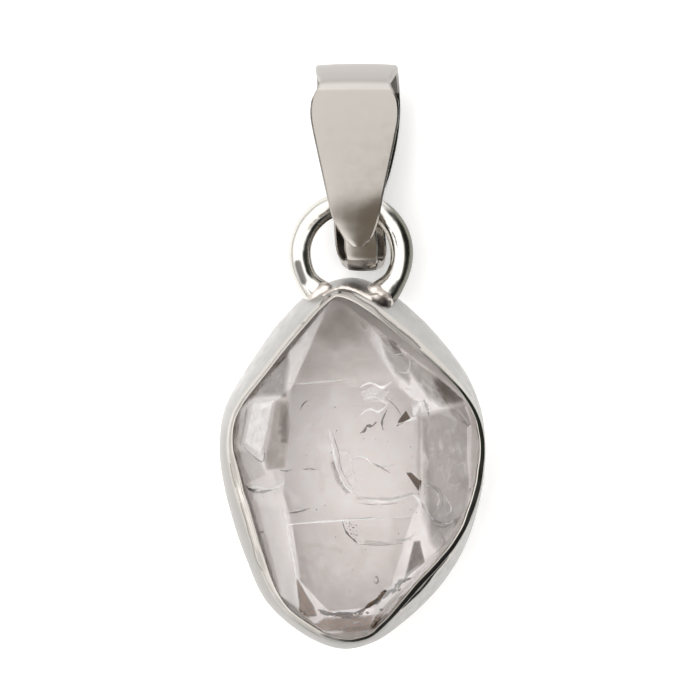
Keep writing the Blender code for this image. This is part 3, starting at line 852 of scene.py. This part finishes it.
# Specks
# The veils are sheets of tiny bubbles, and iron oxide has settled in grains along a crack above the base.
specks = bpy.data.node_groups.new("specks on a sheet", "GeometryNodeTree")
specks.interface.new_socket(name="Sheet", in_out="INPUT", socket_type="NodeSocketGeometry")
for label in ("Density", "Speck Radius", "Scatter"):
    specks.interface.new_socket(name=label, in_out="INPUT", socket_type="NodeSocketFloat")
specks.interface.new_socket(name="Seed", in_out="INPUT", socket_type="NodeSocketInt")
specks.interface.new_socket(name="Least Scale", in_out="INPUT", socket_type="NodeSocketVector")
specks.interface.new_socket(name="Most Scale", in_out="INPUT", socket_type="NodeSocketVector")
specks.interface.new_socket(name="Substance", in_out="INPUT", socket_type="NodeSocketMaterial")
specks.interface.new_socket(name="Mesh", in_out="OUTPUT", socket_type="NodeSocketGeometry")
given = node(specks, "NodeGroupInput").outputs
chosen = {"Mesh": given["Sheet"], "Density": given["Density"], "Seed": given["Seed"]}
spread = node(specks, "GeometryNodeDistributePointsOnFaces", None, **chosen)
back = node(specks, "ShaderNodeMath", {"operation": "MULTIPLY"}, i0=given["Scatter"], i1=-1.0)
reach = {"Min": back.outputs[0], "Max": given["Scatter"]}
aside = node(specks, "FunctionNodeRandomValue", {"data_type": "FLOAT_VECTOR"}, **reach)
points = spread.outputs["Points"]
moved = node(specks, "GeometryNodeSetPosition", None, Geometry=points, Offset=aside.outputs[0])
sizes = {"Min": given["Least Scale"], "Max": given["Most Scale"], "Seed": 3}
scale = node(specks, "FunctionNodeRandomValue", {"data_type": "FLOAT_VECTOR"}, **sizes)
speck = node(specks, "GeometryNodeMeshIcoSphere", None, Radius=given["Speck Radius"], Subdivisions=1)
placed = node(
    specks,
    "GeometryNodeInstanceOnPoints",
    None,
    Points=moved.outputs[0],
    Instance=speck.outputs["Mesh"],
    Rotation=spread.outputs["Rotation"],
    Scale=scale.outputs[0],
)
real = node(specks, "GeometryNodeRealizeInstances", None, Geometry=placed.outputs[0])
dressed = node(specks, "GeometryNodeSetMaterial", None, Geometry=real.outputs[0], Material=given["Substance"])
node(specks, "NodeGroupOutput", None, Mesh=dressed.outputs[0])


def speckled(name, rows, material, per_square_mm, radius, scatter, seed, flatness):
    """Specks of one substance over the sheets that the rows describe, with sizes in millimetres."""
    sheet = films(name + "_sheet", rows, material, 2)
    obj = grown(
        name,
        specks,
        {
            "Density": per_square_mm / MM**2,
            "Speck Radius": radius * MM,
            "Scatter": scatter * MM,
            "Seed": seed,
            "Least Scale": (0.4, 0.4, 0.4 * flatness),
            "Most Scale": (1.5, 1.1, 0.9 * flatness),
            "Substance": material,
        },
        sheet.data,
    )
    bpy.data.objects.remove(sheet)
    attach(obj, "setting")


def grain(name, tint, rough, metallic=0.0):
    """A plain opaque substance whose tone varies a little from grain to grain."""
    material, tree, place = new_material(name)
    shade = ease(tree, cloud(tree, place, 0.1, 2.0), 0.35, 0.65, 0.6, 1.0)
    tone = node(tree, "ShaderNodeVectorMath", {"operation": "SCALE"}, Vector=colour(tint)[:3], Scale=shade)
    finish = {"Base_Color": tone.outputs[0], "Roughness": rough, "Metallic": metallic}
    shader = node(tree, "ShaderNodeBsdfPrincipled", None, **finish)
    node(tree, "ShaderNodeOutputMaterial", None, Surface=shader.outputs[0])
    return material


bubble = grain("air bubble in quartz", "#FFFDFB", 0.3, 1.0)
ochre = grain("iron oxide grain", "#2F2014", 0.7)
speckled(
    "veil_bubbles",
    (
        (1.0, 0.4, 0.0, ((-1.11, -3.75), (-0.7, -3.5), (-0.4, -5.4), (0.49, -7.0), (-0.36, -7.05),
            (-1.16, -5.15))),
        (1.0, 0.4, 0.0, ((-0.01, -6.95), (1.14, -7.1), (3.29, -6.7), (3.44, -7.05), (2.39, -7.25),
            (0.99, -7.35))),
        (1.0, 0.3, 0.0, ((0.3, -1.6), (1.9, -1.4), (2.1, -2.3), (1.2, -3.4), (0.5, -3.6))),
        (1.0, 0.4, 0.0, ((3.6, -7.0), (4.9, -7.3), (5.3, -8.3), (4.4, -9.1), (3.7, -8.4))),
    ),
    bubble,
    per_square_mm=14.0,
    radius=0.028,
    scatter=0.05,
    seed=4,
    flatness=0.35,
)
# Rust has coated the bubbles that settled under the step across the front.
speckled(
    "settled_bubbles",
    ((1.0, 0.3, 0.0, ((-0.55, -8.1), (0.1, -8.1), (0.35, -8.8), (0.2, -9.3), (-0.25, -8.95))),),
    ochre,
    per_square_mm=50.0,
    radius=0.03,
    scatter=0.04,
    seed=7,
    flatness=0.5,
)
rusty_crack = (
    ((-1.6, -12.6), (-1.4, -12.75), (-0.7, -12.85), (0.14, -12.95), (0.64, -12.55), (0.99, -12.3)),
    ((0.99, -12.3), (1.39, -12.0), (1.74, -11.75), (2.14, -11.65), (2.39, -11.2), (2.89, -11.05)),
)
speckled(
    "oxide_grains",
    [stroke(1.0, 0.2, 0.26, path) for path in rusty_crack],
    ochre,
    per_square_mm=60.0,
    radius=0.075,
    scatter=0.03,
    seed=11,
    flatness=0.6,
)
speckled(
    "scattered_grains",
    (
        (1.0, 0.3, 0.0, ((-3.0, -2.0), (3.5, -2.0), (4.5, -5.0), (3.2, -9.0), (0.0, -12.0), (-2.5, -9.0))),
        (1.0, 0.3, 0.0, ((-5.4, -5.2), (-3.6, -5.9), (-3.4, -9.0), (-4.3, -9.6))),
    ),
    ochre,
    per_square_mm=0.7,
    radius=0.035,
    scatter=0.1,
    seed=23,
    flatness=0.6,
)

# Where a crack has healed, so many bubbles are left that it looks like a pale grey veil.
veil = film_material("healed crack veil in quartz", "#7B736A", "#B8B0A8", 0.2, 0.5, 0.6)
films(
    "healed_veils",
    (
        (0.55, 0.3, 0.10, ((-1.15, -5.2), (-0.83, -5.1), (-0.47, -6.1), (0.03, -6.8), (-0.32, -6.95),
            (-0.82, -6.3))),
        (0.35, 0.3, 0.06, ((0.1, -6.95), (1.96, -7.0), (3.1, -6.75), (3.1, -6.95), (1.96, -7.2),
            (0.1, -7.15))),
        (0.35, 0.3, 0.06, ((0.6, -9.1), (1.7, -9.2), (2.8, -8.95), (3.2, -8.6), (2.9, -9.1), (1.7, -9.4),
            (0.6, -9.35))),
        (0.2, 0.3, 0.2, ((3.6, -7.0), (4.9, -7.3), (5.3, -8.3), (4.4, -9.1), (3.7, -8.4))),
    ),
    veil,
)

# Floor, light tent and camera
# The pendant lies on white paper inside a tent of white cloth, photographed from straight above.
paper, tree, place = new_material("white paper")
fibres = node(tree, "ShaderNodeBump", None, Height=cloud(tree, place, 0.4, 4.0), Distance=0.01 * MM)
shader = node(
    tree,
    "ShaderNodeBsdfPrincipled",
    None,
    Base_Color=colour("#FBFBFB"),
    Roughness=0.9,
    Specular_IOR_Level=0.1,
    Emission_Color=colour("#FFFFFF"),
    Emission_Strength=0.26,
    Normal=fibres.outputs[0],
)
node(tree, "ShaderNodeOutputMaterial", None, Surface=shader.outputs[0])
side = 900
corners = [(-side, -side, 0), (side, -side, 0), (side, side, 0), (-side, side, 0)]
floor = add_mesh("floor", corners, [(0, 1, 2, 3)], paper)

# The sun lights the tent's left, right and upper sides and its lower half, so its top is less bright, and its
# foot is duller still. Soft round patches are dark things in the room that the silver mirrors. Each row is a
# compass angle from +X towards +Y, height above the horizon, inner and outer radius in degrees, and the light
# that comes from there.
world = bpy.data.worlds.new("light tent")
bpy.context.scene.world = world
world.use_nodes = True
tree = world.node_tree
tree.nodes.clear()
direction = node(tree, "ShaderNodeTexCoord").outputs["Generated"]
parts = node(tree, "ShaderNodeSeparateXYZ", None, Vector=direction).outputs
sideways = node(tree, "ShaderNodeMath", {"operation": "ABSOLUTE"}, i0=parts["X"]).outputs[0]
beside = ease(tree, sideways, 0.19, 0.40)
beyond = ease(tree, parts["Z"], math.sin(math.radians(46)), math.sin(math.radians(32)))
sides = node(tree, "ShaderNodeMath", {"operation": "MAXIMUM"}, i0=beside, i1=beyond).outputs[0]
north = ease(tree, parts["Y"], 0.44, 0.60)
sides = node(tree, "ShaderNodeMath", {"operation": "MAXIMUM"}, i0=sides, i1=north).outputs[0]
top_cloth = (1.75, 1.75, 1.74, 1.0)
sunlit_cloth = (2.4, 2.4, 2.4, 1.0)
colour_mix = {"data_type": "RGBA"}
seen = node(tree, "ShaderNodeMix", colour_mix, Factor=sides, i6=top_cloth, i7=sunlit_cloth).outputs[2]
foot_cloth = (1.2, 1.2, 1.19, 1.0)
above_foot = ease(tree, parts["Z"], math.sin(math.radians(20)), math.sin(math.radians(38)))
seen = node(tree, "ShaderNodeMix", colour_mix, Factor=above_foot, i6=foot_cloth, i7=seen).outputs[2]
for turn, height, inner, outer, level in (
    (15, 30, 20, 42, (0.04, 0.045, 0.035, 1.0)),
    (-38, 22, 14, 34, (0.03, 0.03, 0.03, 1.0)),
    (-82, 20, 12, 30, (0.03, 0.03, 0.03, 1.0)),
    (-95, 60, 6, 20, (0.52, 0.49, 0.45, 1.0)),
    (-68, 58, 13, 20, (0.37, 0.32, 0.26, 1.0)),
    (198, 47, 4, 11, (0.2, 0.2, 0.19, 1.0)),
):
    a, e = math.radians(turn), math.radians(height)
    towards = (math.cos(a) * math.cos(e), math.sin(a) * math.cos(e), math.sin(e))
    close = node(tree, "ShaderNodeVectorMath", {"operation": "DOT_PRODUCT"}, i0=direction, i1=towards)
    inside = ease(tree, close.outputs["Value"], math.cos(math.radians(outer)), math.cos(math.radians(inner)))
    seen = node(tree, "ShaderNodeMix", colour_mix, Factor=inside, i6=seen, i7=level).outputs[2]
horizon = ease(tree, parts["Z"], math.sin(math.radians(2)), math.sin(math.radians(10)), 0.3, 1.0)
background = node(tree, "ShaderNodeBackground", None, Color=seen, Strength=horizon)
node(tree, "ShaderNodeOutputWorld", None, Surface=background.outputs[0])

camera_data = bpy.data.cameras.new("camera")
camera_data.sensor_width = 36.0
camera_data.lens = 308.57
camera_data.clip_start, camera_data.clip_end = 0.01, 10.0
camera = bpy.data.objects.new("camera", camera_data)
bpy.context.scene.collection.objects.link(camera)
camera.location = viewpoint * MM
bpy.context.scene.camera = camera
bpy.context.scene.view_settings.view_transform = "Standard"
# Light takes many turns between the crystal's faces and the sheet under it before it comes out.
bpy.context.scene.cycles.max_bounces = 24
bpy.context.scene.cycles.glossy_bounces = 16
bpy.context.scene.cycles.transmission_bounces = 24
